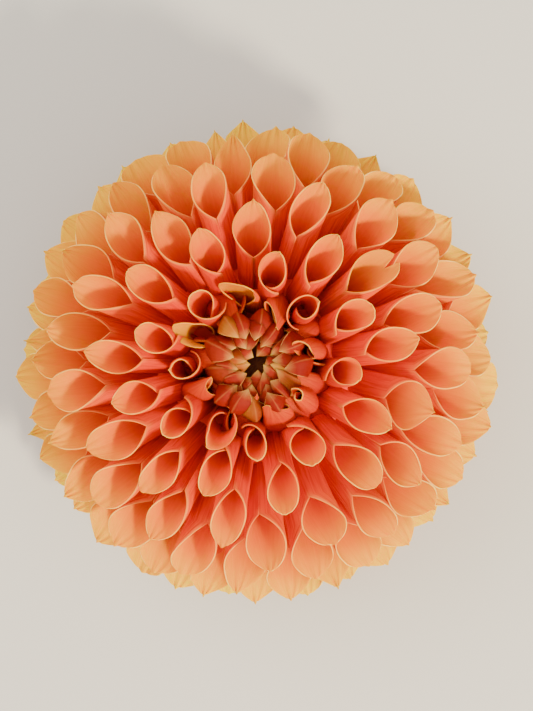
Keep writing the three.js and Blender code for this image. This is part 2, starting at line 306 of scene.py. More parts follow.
class RayFloret:
    """Where the midrib of one floret runs and how its blade is rolled."""

    def __init__(self, rank):
        age = rank / (RAY_COUNT - 1)
        odd = dict(ODD_PETALS.get(rank, {}))
        shares, reaches, heights = zip(*TIP_LINE)
        tip = Vector((along(shares, reaches, age), along(shares, heights, age)))
        tip.x += TIP_SCATTER * draw(rank, DRAW_REACH) + odd.pop("reach", 0)
        high_enough = smoothstep(tip.y, *SCATTERED_HEIGHTS)
        tip.y += HEIGHT_SCATTER * draw(rank, DRAW_HEIGHT) * high_enough
        seat = lerp(FIRST_SEAT, LAST_SEAT, age)
        seat_height = RECEPTACLE_MIDDLE + RECEPTACLE_RISE * math.cos(seat)
        root = Vector((RECEPTACLE_RADIUS * math.sin(seat), seat_height))
        chord = tip - root
        lean = math.atan2(chord.x, chord.y) - math.radians(along(AGES, BENDS, age))
        bend = root + Vector((math.sin(lean), math.cos(lean))) * (BEND_SHARE * chord.length)
        turn = AZIMUTH_SCATTER * draw(rank, DRAW_TURN)
        self.rank = rank
        self.age = age
        self.azimuth = FIRST_AZIMUTH - rank * GOLDEN_ANGLE + turn
        self.midrib = (root, bend, tip)
        self.twist = math.radians(along(AGES, TWISTS, age)) * draw(rank, DRAW_TWIST)
        self.flattening = along(AGES, FLATTENINGS, age) * self.squash()
        self.wave = along(AGES, WAVES, age)
        self.nod = along(AGES, NODS, age) * (1 + NOD_SCATTER * draw(rank, DRAW_NOD))
        size = 1 + SIZE_SCATTER * draw(rank, DRAW_GIRTH)
        self.tube_radius = along(AGES, TUBE_RADII, age) * size
        self.flare = along(AGES, FLARES, age)
        self.taper = along(AGES, TAPERS, age) * (1 + TAPER_SCATTER * draw(rank, DRAW_TAPER))
        self.tip_curl = along(AGES, TIP_CURLS, age)
        curl_scatter = HOOD_SCATTER if self.tip_curl < 0 else CURL_SCATTER
        self.tip_curl *= 1 + curl_scatter * draw(rank, DRAW_CURL)
        self.coil = along(AGES, COILS, age)
        self.spiral = along(AGES, SPIRALS, age)
        self.groove = along(AGES, GROOVES, age)
        mouth_size = 1 + MOUTH_SCATTER * draw(rank, DRAW_MOUTH)
        self.throat = 1 - along(AGES, MOUTH_SHARES, age) * mouth_size
        self.notch = 0
        self.gold = 0
        for trait, value in odd.items():
            setattr(self, trait, value)
        self.beak = BEAK * (1 + draw(rank, DRAW_BEAK)) / (2 * chord.length)
        self.start = self.start_in_core()

    def squash(self):
        """How far the tube is pressed flat, either way, and never round beside the heart."""
        share = draw(self.rank, DRAW_SQUASH)
        least = LEAST_SQUASH * smoothstep(SQUASHED_AGE - self.age, 0, SQUASH_BLEND)
        return math.copysign(max(abs(share), least), share)

    def start_in_core(self):
        """Where along its midrib the floret is still sunk in the core."""
        place = self.throat - LEAST_TUBE
        while self.core_share(midrib_at(self.midrib, place)[0]) > CORE_SINK:
            place -= SINK_STEP
        return place

    @staticmethod
    def core_share(point):
        """How far out a point lies: 1 on the egg of the core, less inside it."""
        half = CORE_CROWN if point.y > CORE_MIDDLE else CORE_UNDER
        return math.hypot(point.x / CORE_RADIUS, (point.y - CORE_MIDDLE) / half)

    def in_tube(self, across, share):
        """The tube: place along the midrib, radius and angle round it."""
        place = lerp(self.start, self.throat, share)
        swell = lerp(ROOT_WIDTH, 1, clamp(1 - (self.throat - place) / ROOT_LENGTH))
        return place, 0, self.tube_radius * swell, math.pi * self.coil * across

    def in_mouth(self, across, rise):
        """The open mouth, where the square blank is mapped to a round-ended one: place along
        the midrib, share of the way to the tip, radius and angle round the midrib."""
        past = rise * math.sqrt(1 - across**2 / 2)
        spread = across * math.sqrt(1 - rise**2 / 2)
        spread = clamp(spread / max(1e-6, math.sqrt(1 - past**2)), -1, 1)
        in_notch = clamp(1 - abs(across) / NOTCH_HALF_WIDTH) * smoothstep(rise, NOTCH_FROM, 1)
        in_beak = clamp(1 - abs(across) / BEAK_HALF_WIDTH) * smoothstep(rise, BEAK_FROM, 1)
        place_in_mouth = past - self.notch * in_notch
        place = lerp(self.throat, 1, place_in_mouth) + self.beak * in_beak
        widening = 1 + self.flare * past
        angle = math.pi * self.coil * (1 - past) ** self.taper * spread / widening
        return place, place_in_mouth, self.tube_radius * widening, angle

    def point(self, across, share):
        """A point of the rolled blade. It returns the place on the bloom and the share of the
        way from the throat to the tip."""
        if share < TUBE_ROWS:
            rolled = self.in_tube(across, share / TUBE_ROWS)
        else:
            rolled = self.in_mouth(across, (share - TUBE_ROWS) / (1 - TUBE_ROWS))
        place, place_in_mouth, radius, angle = rolled
        point, run = midrib_at(self.midrib, place)
        phase = WAVE_SCATTER * draw(self.rank, DRAW_WAVE)
        ripple = math.sin(WAVES_ALONG * place_in_mouth + phase + WAVES_ACROSS * across)
        radius_here = radius * (1 + self.spiral * across)
        radius_here += self.wave * ripple * across**WAVE_POWER
        outwards = radius_here * math.sin(angle) * (1 + self.flattening)
        upwards = -radius_here * math.cos(angle) * (1 - self.flattening)
        side = outwards * math.cos(self.twist) - upwards * math.sin(self.twist)
        lift = outwards * math.sin(self.twist) + upwards * math.cos(self.twist) + radius
        power = HOOD_POWER if self.tip_curl < 0 else CURL_POWER
        lift -= self.tip_curl * place_in_mouth**power
        fold = math.exp(-((across / MIDRIB_FOLD_WIDTH) ** 2))
        beside = (abs(across) - SIDE_FOLD_PLACE) / SIDE_FOLD_WIDTH
        fold += SIDE_FOLD * math.exp(-(beside**2))
        lift += self.groove * fold * place_in_mouth**2
        height = point.y + lift * run.x
        nod = self.nod * clamp((height - NOD_FROM) / NOD_HEIGHT, 0, NOD_LIMIT) ** 2
        reach = point.x - lift * run.y - nod
        place_on_bloom = on_bloom(self.azimuth, reach, side, height - NOD_DROP * nod)
        return place_on_bloom, (place - self.throat) / (1 - self.throat)


# Where the colours and marks of petal tissue begin and end: along a petal, where -1 is the
# root, 0 the throat and 1 the tip, across it from 0 at the midrib to 1 at the edge, or over
# the ages. A second pair is what the first pair turns into.
DEEP_TO_THROAT = (-0.9, -0.1)
THROAT_TO_MIDDLE = (-0.1, 0.5)
MIDDLE_TO_TIP = (0.4, 0.95)
OLD_AGES = (0.15, 0.85)
OLD_ALONG = (-0.3, 0.7, 0.1, 0.95)
YOUNG_AGES = (0.06, 0.17, 0.9, 0.0)
YOUNG_ALONG = (0.2, 1.0, 1.0, 0.35)
GOLD_ALONG = (-0.8, 0.2)
BLOTCH_SCALE = 5.0
BLOTCH_SHIFT = 0.16
TINT_SHIFT = 0.05
VEIN_STRETCH = (46.0, 1.6, 1.0)
VEIN_BENDS = 0.4
VEIN_MARKS = (0.35, 0.7)
# Where the painted highlight along the edges fades in from the root
RIM_HIGHLIGHT_ALONG = (-0.2, 0.2)
LINE_SPACING = 0.13
LINE_ACROSS = (0.0, 0.028, 1.0, 0.0)
LINE_REACH = (0.3, 0.4, 1.0, 0.0)
LINE_ALONG = (0.6, 1.0, 0.0, 0.36)
LINE_AGES = (0.2, 0.6, 0.2, 1.0)
# How far the painted highlight along the keel reaches from the midrib
MIDRIB_HIGHLIGHT_ACROSS = (0.0, 0.12, 1.0, 0.0)


def add_node(tree, kind, inputs=None, **settings):
    """A node with its settings. An input is given a value, or a socket to link to it."""
    node = tree.nodes.new(kind)
    for name, value in settings.items():
        setattr(node, name, value)
    for key, value in (inputs or {}).items():
        if isinstance(value, bpy.types.NodeSocket):
            tree.links.new(value, node.inputs[key])
        else:
            node.inputs[key].default_value = value
    return node


def petal_group():
    """The look of petal tissue: a colour that runs from the throat to the tip and on to older
    florets, long fine veins, a paler band along the edges and a pale keel line that are
    painted highlights, and a height for the veins."""
    group = bpy.data.node_groups.new("petal_tissue", "ShaderNodeTree")
    for name in ("Deep", "Throat", "Middle", "Tip", "Old", "Young", "Gold", "Crease"):
        group.interface.new_socket(name, in_out="INPUT", socket_type="NodeSocketColor")
    for name in ("Vein Depth", "Rim Width", "Midrib", "Variety"):
        group.interface.new_socket(name, in_out="INPUT", socket_type="NodeSocketFloat")
    group.interface.new_socket("Rim Highlight", in_out="INPUT", socket_type="NodeSocketColor")
    group.interface.new_socket("Color", in_out="OUTPUT", socket_type="NodeSocketColor")
    group.interface.new_socket("Height", in_out="OUTPUT", socket_type="NodeSocketFloat")
    given = add_node(group, "NodeGroupInput").outputs
    uv = add_node(group, "ShaderNodeUVMap", uv_map="UVMap").outputs["UV"]
    split = add_node(group, "ShaderNodeSeparateXYZ", {"Vector": uv}).outputs

    def written(name):
        """A value that is written at every point of the petal."""
        return add_node(group, "ShaderNodeAttribute", attribute_name=name).outputs["Fac"]

    def map_range(value, low, high, to_low=0.0, to_high=1.0):
        limits = {
            "Value": value,
            "From Min": low,
            "From Max": high,
            "To Min": to_low,
            "To Max": to_high,
        }
        return add_node(group, "ShaderNodeMapRange", limits).outputs["Result"]

    def mix(share, first, second):
        inputs = {0: share, 6: first, 7: second}
        return add_node(group, "ShaderNodeMix", inputs, data_type="RGBA").outputs[2]

    def maths(operation, first, second=0.0):
        inputs = {0: first, 1: second}
        return add_node(group, "ShaderNodeMath", inputs, operation=operation).outputs[0]

    def times(first, second):
        return maths("MULTIPLY", first, second)

    age, tint_and_shade, gold = written("age"), written("tint_and_shade"), written("gold")
    blotch = add_node(
        group,
        "ShaderNodeTexNoise",
        {"Vector": uv, "Scale": BLOTCH_SCALE, "Detail": 3.0},
        noise_dimensions="3D",
    ).outputs["Fac"]
    shift = times(maths("SUBTRACT", blotch, 0.5), BLOTCH_SHIFT)
    shift = maths("ADD", shift, times(tint_and_shade, TINT_SHIFT))
    mouth = maths("ADD", times(maths("SUBTRACT", split["Y"], 0.5), 2.0), shift)
    base = mix(map_range(mouth, *DEEP_TO_THROAT), given["Deep"], given["Throat"])
    base = mix(map_range(mouth, *THROAT_TO_MIDDLE), base, given["Middle"])
    base = mix(map_range(mouth, *MIDDLE_TO_TIP), base, given["Tip"])
    old = times(map_range(age, *OLD_AGES), map_range(mouth, *OLD_ALONG))
    base = mix(old, base, given["Old"])
    young = times(map_range(age, *YOUNG_AGES), map_range(mouth, *YOUNG_ALONG))
    base = mix(young, base, given["Young"])
    base = mix(times(gold, map_range(mouth, *GOLD_ALONG)), base, given["Gold"])
    # Darker by the written tint, which on the buds also holds the painted shade of one side
    dark = times(map_range(tint_and_shade, -1.0, 1.0), given["Variety"])
    base = mix(dark, base, given["Deep"])
    vein_place = add_node(group, "ShaderNodeMapping", {"Vector": uv, "Scale": VEIN_STRETCH})
    veins = add_node(
        group,
        "ShaderNodeTexNoise",
        {
            "Vector": vein_place.outputs["Vector"],
            "Scale": 1.0,
            "Detail": 2.0,
            "Distortion": VEIN_BENDS,
        },
        noise_dimensions="2D",
    ).outputs["Fac"]
    vein_mark = map_range(veins, *VEIN_MARKS)
    base = mix(times(vein_mark, given["Vein Depth"]), base, given["Crease"])
    across = maths("ABSOLUTE", times(maths("SUBTRACT", split["X"], 0.5), 2.0))
    # A paler band along the edges, a painted highlight where the thin margin catches the light
    rim_highlight = map_range(across, maths("SUBTRACT", 1.0, given["Rim Width"]), 1.0)
    rim_highlight = times(rim_highlight, map_range(mouth, *RIM_HIGHLIGHT_ALONG))
    lines = map_range(maths("PINGPONG", across, LINE_SPACING), *LINE_ACROSS)
    lines = times(lines, map_range(across, *LINE_REACH))
    lines = times(lines, map_range(mouth, *LINE_ALONG))
    lines = times(lines, map_range(age, *LINE_AGES))
    base = mix(lines, base, given["Crease"])
    # A pale line along the keel, a painted highlight on the crest of a folded bud
    midrib = times(map_range(across, *MIDRIB_HIGHLIGHT_ACROSS), given["Midrib"])
    base = mix(maths("MAXIMUM", rim_highlight, midrib), base, given["Rim Highlight"])
    out = add_node(group, "NodeGroupOutput")
    group.links.new(base, out.inputs["Color"])
    group.links.new(vein_mark, out.inputs["Height"])
    return group


PETAL_TISSUE = petal_group()
PETAL_RELIEF = 0.3
PETAL_RELIEF_HEIGHT = 0.1
PETAL_ROUGHNESS = 0.55
PETAL_GLOSS = 0.06
PETAL_GLOW = 0.6
PETAL_GLOW_COLOUR = (1.0, 0.32, 0.12)
PETAL_GLOW_DEPTH = 1.6


def petal_material(name, colours, vein_depth=0.08, rim_highlight_width=0.0, midrib=0.0, variety=0.12):
    """Petal tissue in the colours given, where a rim width or midrib paints the rim colour on
    as a highlight along the edges or the keel: matt, softly glowing where light comes through.
    """
    material, tree, shader = new_material(name)
    tissue = add_node(tree, "ShaderNodeGroup", node_tree=PETAL_TISSUE)
    for key, value in colours.items():
        tissue.inputs[key].default_value = value
    tissue.inputs["Vein Depth"].default_value = vein_depth
    tissue.inputs["Rim Width"].default_value = rim_highlight_width
    tissue.inputs["Midrib"].default_value = midrib
    tissue.inputs["Variety"].default_value = variety
    relief = add_node(
        tree,
        "ShaderNodeBump",
        {
            "Height": tissue.outputs["Height"],
            "Strength": PETAL_RELIEF,
            "Distance": PETAL_RELIEF_HEIGHT * MM,
        },
    )
    tree.links.new(tissue.outputs["Color"], shader.inputs["Base Color"])
    tree.links.new(relief.outputs["Normal"], shader.inputs["Normal"])
    shader.inputs["Roughness"].default_value = PETAL_ROUGHNESS
    shader.inputs["Specular IOR Level"].default_value = PETAL_GLOSS
    shader.inputs["Subsurface Weight"].default_value = PETAL_GLOW
    shader.inputs["Subsurface Radius"].default_value = PETAL_GLOW_COLOUR
    shader.inputs["Subsurface Scale"].default_value = PETAL_GLOW_DEPTH * MM
    return material


INSIDE_LOOK = petal_material(
    "petal_inside",
    {
        "Deep": colour(236, 74, 14),
        "Throat": colour(242, 94, 8),
        "Middle": colour(240, 100, 2),
        "Tip": colour(238, 126, 2),
        "Old": colour(250, 194, 16),
        "Young": colour(232, 58, 12),
        "Gold": colour(214, 134, 0),
        "Crease": colour(168, 84, 20),
        "Rim Highlight": colour(255, 170, 40),
    },
)
OUTSIDE_LOOK = petal_material(
    "petal_outside",
    {
        "Deep": colour(222, 40, 14),
        "Throat": colour(226, 54, 12),
        "Middle": colour(224, 66, 10),
        "Tip": colour(228, 88, 8),
        "Old": colour(244, 170, 30),
        "Young": colour(150, 24, 12),
        "Gold": colour(236, 84, 8),
        "Crease": colour(156, 14, 14),
        "Rim Highlight": colour(248, 140, 60),
    },
    vein_depth=0.42,
    rim_highlight_width=0.1,
)
# The edge faces of each petal wall, painted paler than the tissue on either side: a painted
# highlight where the thin edge catches the light and glows through.
LIT_RIM_LOOK = petal_material(
    "petal_rim_highlight",
    {
        "Deep": colour(222, 40, 12),
        "Throat": colour(248, 84, 16),
        "Middle": colour(253, 142, 36),
        "Tip": colour(255, 172, 64),
        "Old": colour(255, 208, 110),
        "Young": colour(214, 90, 34),
        "Gold": colour(248, 150, 20),
        "Crease": colour(255, 170, 40),
        "Rim Highlight": colour(255, 170, 40),
    },
    vein_depth=0.0,
    variety=0.0,
)

ACROSS_STEPS = 30
ALONG_STEPS = 20
PETAL_SMOOTHING = math.radians(60)


def add_blank(name, looks, across_steps, along_steps):
    """A flat square blank in the looks given, from -1 to 1 across and along."""
    bpy.ops.object.select_all(action="DESELECT")
    bpy.ops.mesh.primitive_grid_add(
        x_subdivisions=across_steps, y_subdivisions=along_steps, size=2
    )
    blank = bpy.context.object
    blank.name = name
    for look in looks:
        blank.data.materials.append(look)
    return blank


def copy_blank(blank):
    """A copy of a blank with a mesh of its own."""
    blade = blank.copy()
    blade.data = blank.data.copy()
    bpy.context.collection.objects.link(blade)
    return blade


def write_looks(mesh, looks):
    """The values that petal tissue reads at every point of a mesh."""
    for name, values in looks.items():
        layer = mesh.attributes.new(name, "FLOAT", "POINT")
        layer.data.foreach_set("value", values)


def join_blades(name, blades):
    """Blades of one kind joined as one piece."""
    bpy.ops.object.select_all(action="DESELECT")
    for blade in blades:
        blade.select_set(True)
    bpy.context.view_layer.objects.active = blades[0]
    bpy.ops.object.join()
    piece = bpy.context.object
    piece.name = name
    return piece


flat_blade = add_blank(
    "flat_blade", (OUTSIDE_LOOK, INSIDE_LOOK, LIT_RIM_LOOK), ACROSS_STEPS, ALONG_STEPS
)


def roll_petal(rank):
    """A copy of the flat blade, rolled to its own cup and set in its place on the bloom."""
    floret = RayFloret(rank)
    petal = copy_blank(flat_blade)
    mesh = petal.data
    mouths = []
    for vertex in mesh.vertices:
        across, share = vertex.co.x, (vertex.co.y + 1) / 2
        vertex.co, mouth = floret.point(across, share)
        vertex.co.z = max(vertex.co.z, PETAL_WALL / 2 * MM)
        mouths.append((across, mouth))
    marks = mesh.uv_layers.active.data
    for loop in mesh.loops:
        across, mouth = mouths[loop.vertex_index]
        marks[loop.index].uv = (0.5 + across / 2, clamp(0.5 + mouth / 2))
    looks = {"age": floret.age, "tint_and_shade": draw(rank, DRAW_TINT), "gold": floret.gold}
    write_looks(mesh, {name: [value] * len(mouths) for name, value in looks.items()})
    return petal


def join_petals(name, ranks):
    """One whorl of petals as a piece, with a wall of its real thickness."""
    whorl = join_blades(name, [roll_petal(rank) for rank in ranks])
    wall = whorl.modifiers.new("wall", "SOLIDIFY")
    wall.thickness = PETAL_WALL * MM
    wall.offset = 0
    wall.material_offset = 1
    # The edge faces take the third look, whose pale colours are a painted highlight.
    wall.material_offset_rim = 2
    bpy.ops.object.modifier_apply(modifier="wall")
    bpy.ops.object.shade_smooth_by_angle(angle=PETAL_SMOOTHING)
    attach(whorl, "root")
    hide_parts("ray_florets")


WHORLS = [
    ("inner_rays", 0, 40),
    ("crown_rays", 40, 80),
    ("side_rays", 80, 120),
    ("under_rays", 120, RAY_COUNT),
]
for name, first, past_last in WHORLS:
    join_petals(name, range(first, past_last))
bpy.data.objects.remove(flat_blade)


# The heart
# The youngest florets, still shut: small folded petals with a keel outside, that stand on a
# low dome and lean in over a dark hollow.
HEART_COUNT = 37
HEART_FLOOR = 43.3
HEART_HOLLOW = 1.1

# Traits of a bud from the hollow to the edge of the heart
BUD_CRESTS = [1.9, 8.7]
BUD_CREST_SPREAD = 0.6
BUD_HEIGHTS = [6.2, 10.2]
BUD_SIZES = [1.0, 1.06]
BUD_LEANS = [2.4, 3.8]
BUD_AGES = [0.165, 0.075]

# The midrib, from a foot on the dome out over a back to the tip, and the folded girth
BUD_FOOT_SHARE = 0.82
BUD_FOOT_HEIGHT = 0.6
BUD_BACK = 1.8
BUD_CURVE = 0.4
BUD_HALF_WIDTH = 2.35
BUD_CREST_DEPTH = 2.3
BUD_CREST_POWER = 1.6
BUD_UNDER_DEPTH = 0.7
BUD_FOOT_GIRTH = 0.6
BUD_SHOULDER = 0.52
BUD_TAPER_POWER = 2.1
BUD_LEAST_GIRTH = 0.01
BUD_SWEEP = 1.2
BUD_WELD = 0.01
BUD_SMOOTHING = math.radians(50)

# How the colours run up a bud, and how its two sides differ: one side is painted darker,
# partly its own tint and partly painted shade of a facet turned from the light
BUD_COLOUR_POWER = 1.7
BUD_TINT_SCATTER = 0.4
SIDE_TINT_AND_SHADE = 0.6
SIDE_TINT_AND_SHADE_SCATTER = 0.8
BUD_GOLD = 0.5

# How much each trait is scattered, and the number that each trait's draw is made from
BUD_HEIGHT_SCATTER = 1.1
BUD_LEAN_SCATTER = 0.3
BUD_SIZE_SCATTER = 0.14
BUD_TURN = math.radians(8)
BUD_TWIST = math.radians(34)
DRAW_BUD_HEIGHT = 11
DRAW_BUD_LEAN = 12
DRAW_BUD_TURN = 13
DRAW_BUD_TWIST = 14
DRAW_BUD_TINT = 15
DRAW_BUD_SIZE = 17
DRAW_BUD_GOLD = 19
DRAW_BUD_SWEEP = 20
DRAW_BUD_SIDES = 23

# The buds' own rose red runs to yellow tips; the near-black red of Deep and Throat at each
# foot is partly painted shade, where the buds crowd into each other on the dome.
BUD_LOOK = petal_material(
    "heart_bud",
    {
        "Deep": colour(112, 12, 8),
        "Throat": colour(132, 24, 14),
        "Middle": colour(176, 60, 36),
        "Tip": colour(255, 204, 104),
        "Old": colour(180, 66, 28),
        "Young": colour(136, 28, 14),
        "Gold": colour(212, 160, 30),
        "Crease": colour(120, 26, 8),
        "Rim Highlight": colour(214, 140, 70),
    },
    vein_depth=0.3,
    # Pale edges and a pale keel line, painted highlights
    rim_highlight_width=0.05,
    midrib=0.2,
    variety=0.8,
)

BUD_ACROSS_STEPS = 16
BUD_ALONG_STEPS = 12
flat_bud = add_blank("flat_bud", (BUD_LOOK,), BUD_ACROSS_STEPS, BUD_ALONG_STEPS)


def fold_line(across):
    """Round one folded bud, from the keel outside over an edge to the under side. It returns
    the share to the side and the depth there, which is below 0 towards the keel."""
    if abs(across) < 0.5:
        sideways = 2 * across
        return sideways, -BUD_CREST_DEPTH * (1 - abs(sideways) ** BUD_CREST_POWER)
    sideways = math.copysign(2 - 2 * abs(across), across)
    return sideways, BUD_UNDER_DEPTH * (1 - sideways**2)


def fold_bud(number):
    """A copy of the flat bud, folded along its keel and set in its place in the heart."""
    age = (number + 0.5) / HEART_COUNT
    crest = lerp(*BUD_CRESTS, age**BUD_CREST_SPREAD)
    top = HEART_FLOOR + lerp(*BUD_HEIGHTS, age)
    top += BUD_HEIGHT_SCATTER * draw(number, DRAW_BUD_HEIGHT)
    lean = lerp(*BUD_LEANS, age) * (1 + BUD_LEAN_SCATTER * draw(number, DRAW_BUD_LEAN))
    midrib = (
        Vector((crest * BUD_FOOT_SHARE, HEART_FLOOR + BUD_FOOT_HEIGHT)),
        Vector((crest + BUD_BACK, top + BUD_CURVE)),
        Vector((max(HEART_HOLLOW, crest - lean), top - BUD_CURVE)),
    )
    azimuth = number * GOLDEN_ANGLE + BUD_TURN * draw(number, DRAW_BUD_TURN)
    twist = BUD_TWIST * draw(number, DRAW_BUD_TWIST)
    size = lerp(*BUD_SIZES, age) * (1 + BUD_SIZE_SCATTER * draw(number, DRAW_BUD_SIZE))
    sweep = BUD_SWEEP * draw(number, DRAW_BUD_SWEEP)
    side_draw = draw(number, DRAW_BUD_SIDES)
    # One side painted darker than the other: partly the bud's own tint, partly painted shade
    # of a facet
    side_tint_and_shade = math.copysign(SIDE_TINT_AND_SHADE + SIDE_TINT_AND_SHADE_SCATTER * abs(side_draw), side_draw)
    bud_tint = BUD_TINT_SCATTER * draw(number, DRAW_BUD_TINT)
    bud = copy_blank(flat_bud)
    marks = []
    for vertex in bud.data.vertices:
        place = (vertex.co.y + 1) / 2
        sideways, depth = fold_line(vertex.co.x)
        point, run = midrib_at(midrib, place)
        past = clamp((place - BUD_SHOULDER) / (1 - BUD_SHOULDER))
        girth = size * lerp(BUD_FOOT_GIRTH, 1, smoothstep(place, 0, BUD_SHOULDER))
        girth *= max(BUD_LEAST_GIRTH, 1 - past**BUD_TAPER_POWER)
        outwards = BUD_HALF_WIDTH * girth * sideways
        upwards = girth * depth
        side = outwards * math.cos(twist) - upwards * math.sin(twist) + sweep * past**2
        lift = outwards * math.sin(twist) + upwards * math.cos(twist)
        vertex.co = on_bloom(azimuth, point.x - lift * run.y, side, point.y + lift * run.x)
        marks.append((sideways, place))
    uvs = bud.data.uv_layers.active.data
    for loop in bud.data.loops:
        sideways, place = marks[loop.vertex_index]
        uvs[loop.index].uv = (0.5 + sideways / 2, place**BUD_COLOUR_POWER)
    gold = BUD_GOLD * clamp(2 * draw(number, DRAW_BUD_GOLD) - 1)
    looks = {
        "age": [lerp(*BUD_AGES, age)] * len(marks),
        "tint_and_shade": [bud_tint + sideways * side_tint_and_shade for sideways, place in marks],
        "gold": [gold] * len(marks),
    }
    write_looks(bud.data, looks)
    return bud


heart = join_blades("heart_buds", [fold_bud(number) for number in range(HEART_COUNT)])
bpy.data.objects.remove(flat_bud)
bpy.ops.object.mode_set(mode="EDIT")
bpy.ops.mesh.select_all(action="SELECT")
bpy.ops.mesh.remove_doubles(threshold=BUD_WELD * MM)
bpy.ops.mesh.normals_make_consistent(inside=False)
bpy.ops.object.mode_set(mode="OBJECT")
bpy.ops.object.shade_smooth_by_angle(angle=BUD_SMOOTHING)
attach(heart, "root")
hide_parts("heart_florets")


# The receptacle
# The fleshy end of the stem that every floret grows from, with the lower tubes packed round it
# so closely that they look like one body. It swells round the heart, and a low dome in its
# middle carries the buds; the dome's dark brown is partly its own colour and partly painted
# shade of the deep hollow.
CORE_SWELL = 4.5
CORE_SWELL_REACH = 16
CORE_SWELL_WIDTH = 5
CORE_SIDES = 48
CORE_RINGS = 24
DOME_RADIUS = 8.4
DOME_HEIGHT = 2.6
DOME_SIDES = 32
DOME_RINGS = 16

# Plain tissue: its mottle, its fine lines and where their product turns dark and light
MOTTLE_SCALE = 260.0
TISSUE_STRETCH = (34.0, 1.2, 1.0)
TISSUE_MARKS = (0.14, 0.36)
TISSUE_RELIEF = 0.15
TISSUE_GLOSS = 0.2
TISSUE_GLOW_DEPTH = 0.8


def tissue_group():
    """The look of plain tissue: two colours mixed by a mottle and by fine lengthwise lines."""
    group = bpy.data.node_groups.new("plain_tissue", "ShaderNodeTree")
    for name in ("Dark", "Light"):
        group.interface.new_socket(name, in_out="INPUT", socket_type="NodeSocketColor")
    group.interface.new_socket("Mottle Scale", in_out="INPUT", socket_type="NodeSocketFloat")
    group.interface.new_socket("Color", in_out="OUTPUT", socket_type="NodeSocketColor")
    group.interface.new_socket("Height", in_out="OUTPUT", socket_type="NodeSocketFloat")
    given = add_node(group, "NodeGroupInput").outputs
    place = add_node(group, "ShaderNodeTexCoord").outputs["Object"]
    mottle = add_node(
        group,
        "ShaderNodeTexNoise",
        {"Vector": place, "Scale": given["Mottle Scale"], "Detail": 4.0},
    ).outputs["Fac"]
    uv = add_node(group, "ShaderNodeUVMap", uv_map="UVMap").outputs["UV"]
    stretched = add_node(group, "ShaderNodeMapping", {"Vector": uv, "Scale": TISSUE_STRETCH})
    lines = add_node(
        group,
        "ShaderNodeTexNoise",
        {"Vector": stretched.outputs["Vector"], "Scale": 1.0, "Detail": 2.0},
        noise_dimensions="2D",
    ).outputs["Fac"]
    both = add_node(group, "ShaderNodeMath", {0: mottle, 1: lines}, operation="MULTIPLY")
    darkest, lightest = TISSUE_MARKS
    limits = {"Value": both.outputs[0], "From Min": darkest, "From Max": lightest}
    marks = add_node(group, "ShaderNodeMapRange", limits).outputs["Result"]
    colours = {"Fac": marks, "Color1": given["Dark"], "Color2": given["Light"]}
    mixed = add_node(group, "ShaderNodeMixRGB", colours)
    out = add_node(group, "NodeGroupOutput")
    group.links.new(mixed.outputs["Color"], out.inputs["Color"])
    group.links.new(lines, out.inputs["Height"])
    return group


PLAIN_TISSUE = tissue_group()


def tissue_material(name, dark, light, roughness=0.6, through=0.0, bump=0.3):
    """Plain tissue in its two colours. Through is how much light passes into it."""
    material, tree, shader = new_material(name)
    tissue = add_node(tree, "ShaderNodeGroup", node_tree=PLAIN_TISSUE)
    tissue.inputs["Dark"].default_value = dark
    tissue.inputs["Light"].default_value = light
    tissue.inputs["Mottle Scale"].default_value = MOTTLE_SCALE
    relief = add_node(
        tree,
        "ShaderNodeBump",
        {"Height": tissue.outputs["Height"], "Strength": bump, "Distance": TISSUE_RELIEF * MM},
    )
    tree.links.new(tissue.outputs["Color"], shader.inputs["Base Color"])
    tree.links.new(relief.outputs["Normal"], shader.inputs["Normal"])
    shader.inputs["Roughness"].default_value = roughness
    shader.inputs["Specular IOR Level"].default_value = TISSUE_GLOSS
    shader.inputs["Subsurface Weight"].default_value = through
    shader.inputs["Subsurface Scale"].default_value = TISSUE_GLOW_DEPTH * MM
    return material


CORE_LOOK = tissue_material(
    "receptacle_core", colour(228, 36, 14), colour(246, 60, 24), through=0.5
)
# Dark brown, partly the dome's own colour and partly painted shade of the hollow over it
DOME_TONE_AND_SHADE_LOOK = tissue_material("heart_dome", colour(84, 28, 8), colour(128, 64, 14), through=0.3)

bpy.ops.object.select_all(action="DESELECT")
bpy.ops.mesh.primitive_uv_sphere_add(segments=CORE_SIDES, ring_count=CORE_RINGS, radius=1)
core = bpy.context.object
core.name = "receptacle_core"
for vertex in core.data.vertices:
    half = CORE_CROWN if vertex.co.z > 0 else CORE_UNDER
    reach = CORE_RADIUS * math.hypot(vertex.co.x, vertex.co.y)
    swell = CORE_SWELL * math.exp(-(((reach - CORE_SWELL_REACH) / CORE_SWELL_WIDTH) ** 2))
    height = CORE_MIDDLE + vertex.co.z * half + (swell if vertex.co.z > 0 else 0)
    vertex.co.x *= CORE_RADIUS * MM
    vertex.co.y *= CORE_RADIUS * MM
    vertex.co.z = height * MM
core.data.materials.append(CORE_LOOK)
bpy.ops.object.shade_smooth()
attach(core, "root")
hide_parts("ray_florets")

bpy.ops.object.select_all(action="DESELECT")
bpy.ops.mesh.primitive_uv_sphere_add(segments=DOME_SIDES, ring_count=DOME_RINGS, radius=1)
dome = bpy.context.object
dome.name = "heart_dome"
for vertex in dome.data.vertices:
    vertex.co.x *= DOME_RADIUS * MM
    vertex.co.y *= DOME_RADIUS * MM
    vertex.co.z = (HEART_FLOOR + vertex.co.z * DOME_HEIGHT) * MM
dome.data.materials.append(DOME_TONE_AND_SHADE_LOOK)
bpy.ops.object.shade_smooth()
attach(dome, "root")
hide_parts("heart_florets")


